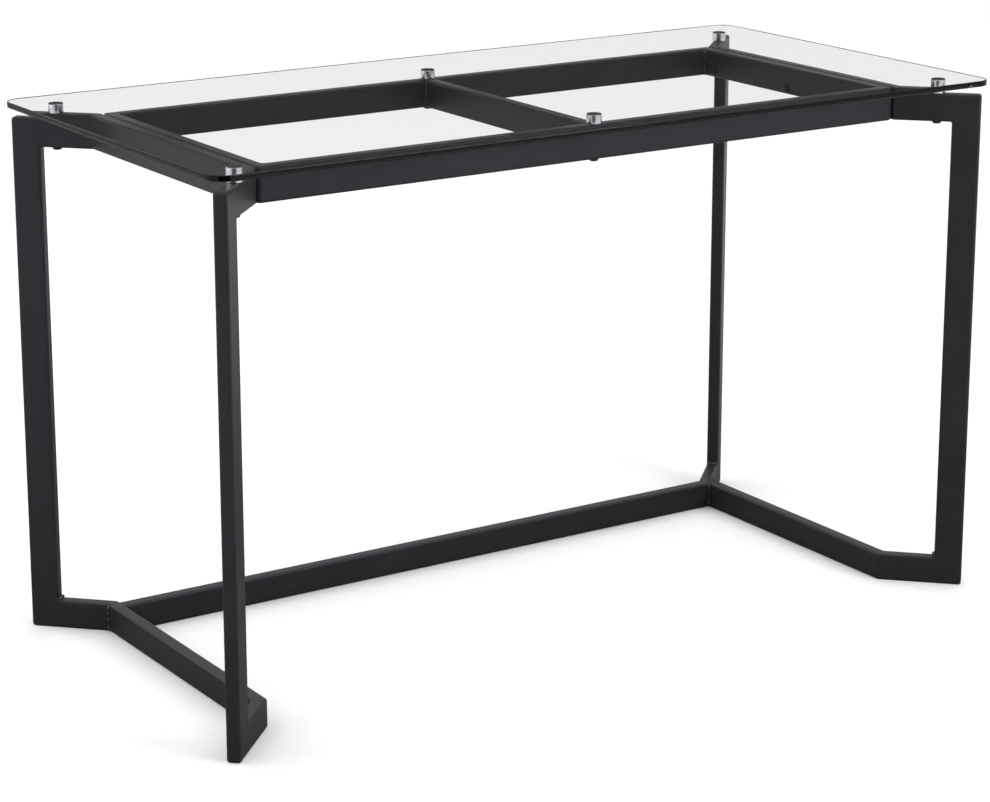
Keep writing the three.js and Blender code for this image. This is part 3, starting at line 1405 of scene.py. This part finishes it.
def glass_body(glass):
    """The sheet, with a rounded arris along its upper and lower edge."""
    rings = []
    for i in range(GLASS_ARRIS_STEPS + 1):
        angle = math.pi / 2 * i / GLASS_ARRIS_STEPS
        inset = glass.arris * (1 - math.sin(angle))
        rings.append((inset, GLASS_LOW.z + glass.arris * (1 - math.cos(angle))))
    rings += [(inset, GLASS_LOW.z + GLASS_HIGH.z - height) for inset, height in reversed(rings)]
    body = skin(rounded_outline(inset, glass.corner_radius, height) for inset, height in rings)
    for face in body.faces:
        is_sheet = abs(face.normal.z) > 0.999
        face.material_index = 0 if is_sheet else 1
        if is_sheet:
            for edge in face.edges:
                edge.smooth = False
    return body


class DESK_OT_glass(bpy.types.Operator):
    """Makes the clear glass top"""

    bl_idname = "desk.glass"
    bl_label = "Glass top"

    def execute(self, context):
        glass = context.scene.desk_glass
        piece = to_object("clear_glass_sheet", glass_body(glass))
        for name, tint, roughness, mirror_share in (
            ("clear_sheet_glass", glass.tint, 0.004, 0.02),
            ("polished_glass_edge", glass.edge_tint, 0.06, 0.5),
        ):
            piece.data.materials.append(clear_glass(name, tint, roughness, mirror_share))
        declare(piece, ["glass_top"])
        return {"FINISHED"}


# The studio.


def studio_floor(stage):
    """A matt white floor, which throws less light back on the desk than it shows."""
    body = bmesh.new()
    signs = ((-1, -1), (1, -1), (1, 1), (-1, 1))
    body.faces.new([body.verts.new((x * FLOOR_REACH, y * FLOOR_REACH, 0)) for x, y in signs])
    floor = to_object("studio_floor", body)
    material, graph = shader_graph("matt_white_floor")
    spot = place_on_piece(graph)
    mottle = noise(graph, spot, 0.4)
    colour = blend(graph, mottle, opaque(stage.floor_colour, 0.985), opaque(stage.floor_colour))
    seen = graph.add("ShaderNodeBsdfDiffuse", {}, {"Color": colour})
    distance = graph.add(
        "ShaderNodeVectorMath", {"operation": "LENGTH"}, {0: spot}, output="Value"
    )
    # Painted shade: the light the floor throws back is dimmest under the desk and brightens away
    # from it.
    fade = (distance - stage.glow_start) / (stage.glow_end - stage.glow_start)
    glow = blend(graph, fade, opaque(stage.near_glow), opaque(stage.far_glow))
    felt = graph.add("ShaderNodeBsdfDiffuse", {}, {"Color": glow})
    by_matt = graph.add("ShaderNodeLightPath", output="Is Diffuse Ray")
    by_gloss = graph.add("ShaderNodeLightPath", output="Is Glossy Ray")
    by_bending = graph.add("ShaderNodeLightPath", output="Is Transmission Ray")
    by_bounce = by_matt + by_gloss * (1 - by_bending)
    surface = graph.add("ShaderNodeMixShader", {}, {0: by_bounce, 1: seen, 2: felt})
    graph.add("ShaderNodeOutputMaterial", {}, {"Surface": surface})
    floor.data.materials.append(material)


def studio_dome(stage):
    """A dome in front of a white backdrop, bright overhead and dimmer at the sides."""
    world = bpy.data.worlds.new("studio_dome")
    world.use_nodes = True
    world.node_tree.nodes.clear()
    graph = Graph(world.node_tree)
    direction = graph.add("ShaderNodeTexCoord", output="Generated")
    height = graph.add("ShaderNodeSeparateXYZ", {}, {0: direction}, output="Z")
    shade = graph.add("ShaderNodeValToRGB", {"stops": DOME_SHADES}, {"Fac": height})
    dome = graph.add(
        "ShaderNodeBackground", {}, {"Color": shade, "Strength": stage.dome_strength}
    )
    backdrop = graph.add("ShaderNodeBackground", {}, {"Color": opaque((1, 1, 1)), "Strength": 1})
    is_seen = graph.add("ShaderNodeLightPath", output="Is Camera Ray")
    surface = graph.add("ShaderNodeMixShader", {}, {0: is_seen, 1: dome, 2: backdrop})
    graph.add("ShaderNodeOutputWorld", {}, {"Surface": surface})
    bpy.context.scene.world = world


def black_card(name, start, end, height):
    """A dark card that stands on the floor, and that only reflections see."""
    corners = [(*start, 0), (*end, 0), (*end, height), (*start, height)]
    body = bmesh.new()
    body.faces.new([body.verts.new(corner) for corner in corners])
    card = to_object(name, body)
    material, graph = shader_graph(name)
    black = graph.add("ShaderNodeBsdfDiffuse", {}, {"Color": opaque((0.06, 0.06, 0.06))})
    graph.add("ShaderNodeOutputMaterial", {}, {"Surface": black})
    card.data.materials.append(material)
    card.visible_camera = False
    card.visible_diffuse = False
    card.visible_shadow = False
    card.visible_transmission = False


def soft_light(name, place, aim, size, power):
    light = bpy.data.lights.new(name, "AREA")
    light.shape = "SQUARE"
    light.size = size
    light.energy = power
    lamp = link(name, light)
    lamp.location = place
    lamp.rotation_euler = (Vector(aim) - Vector(place)).to_track_quat("-Z", "Y").to_euler()


def studio_camera(stage):
    lens = bpy.data.cameras.new("studio_camera")
    lens.sensor_width = SENSOR_WIDTH
    lens.lens = stage.focal_length
    lens.shift_y = stage.rise
    lens.dof.use_dof = False
    lens.clip_end = CLIP_END
    camera = link("studio_camera", lens)
    turn = Matrix.Rotation(stage.camera_turn, 4, "Z")
    dip = Matrix.Rotation(math.pi / 2 - stage.camera_dip, 4, "X")
    camera.matrix_world = Matrix.Translation(stage.camera_place) @ turn @ dip
    bpy.context.scene.camera = camera


class DESK_OT_stage(bpy.types.Operator):
    """Makes the floor, the lights and the camera"""

    bl_idname = "desk.stage"
    bl_label = "Studio"

    def execute(self, context):
        stage = context.scene.desk_stage
        context.scene.view_settings.view_transform = "Standard"
        studio_floor(stage)
        studio_dome(stage)
        soft_light(
            "key_light",
            place=(1.35, -3.0, 1.8),
            aim=(0, 0, 0.6),
            size=1.4,
            power=stage.key_power,
        )
        soft_light(
            "back_light",
            place=(-1.9, 3.2, 1.5),
            aim=(-0.3, 0, 0.55),
            size=1.6,
            power=stage.back_power,
        )
        soft_light(
            "left_light",
            place=(-2.9, 0.8, 1.2),
            aim=(-0.3, 0, 0.4),
            size=1.2,
            power=stage.left_power,
        )
        black_card("front_card", start=(-1.9, -1.1), end=(-0.46, -2.15), height=0.9)
        studio_camera(stage)
        return {"FINISHED"}


# The add-on's panel and registration.


PIECE_OPERATORS = (
    DESK_OT_end_frames,
    DESK_OT_deck_frame,
    DESK_OT_stretcher,
    DESK_OT_welds,
    DESK_OT_standoffs,
    DESK_OT_pads,
    DESK_OT_standoff_bolts,
    DESK_OT_deck_bolts,
    DESK_OT_inserts,
    DESK_OT_glass,
    DESK_OT_stage,
)
SETTINGS = {
    "desk_steel": DeskSteelSettings,
    "desk_glass": DeskGlassSettings,
    "desk_fittings": DeskFittingSettings,
    "desk_stage": DeskStageSettings,
}


class DESK_PT_pieces(bpy.types.Panel):
    """Lists the desk's settings and the operators that make its pieces"""

    bl_idname = "DESK_PT_pieces"
    bl_label = "Desk"
    bl_space_type = "VIEW_3D"
    bl_region_type = "UI"
    bl_category = "Desk"

    def draw(self, context):
        for key, group in SETTINGS.items():
            box = self.layout.box()
            for name in group.__annotations__:
                box.prop(getattr(context.scene, key), name)
        for operator in PIECE_OPERATORS:
            self.layout.operator(operator.bl_idname)


def register():
    for group in SETTINGS.values():
        bpy.utils.register_class(group)
    for operator in PIECE_OPERATORS:
        bpy.utils.register_class(operator)
    bpy.utils.register_class(DESK_PT_pieces)
    for key, group in SETTINGS.items():
        setattr(bpy.types.Scene, key, PointerProperty(type=group))


def unregister():
    for key in SETTINGS:
        delattr(bpy.types.Scene, key)
    bpy.utils.unregister_class(DESK_PT_pieces)
    for operator in reversed(PIECE_OPERATORS):
        bpy.utils.unregister_class(operator)
    for group in reversed(SETTINGS.values()):
        bpy.utils.unregister_class(group)


def main():
    register()
    for operator in PIECE_OPERATORS:
        family, action = operator.bl_idname.split(".")
        getattr(getattr(bpy.ops, family), action)()


if __name__ == "__main__":
    main()
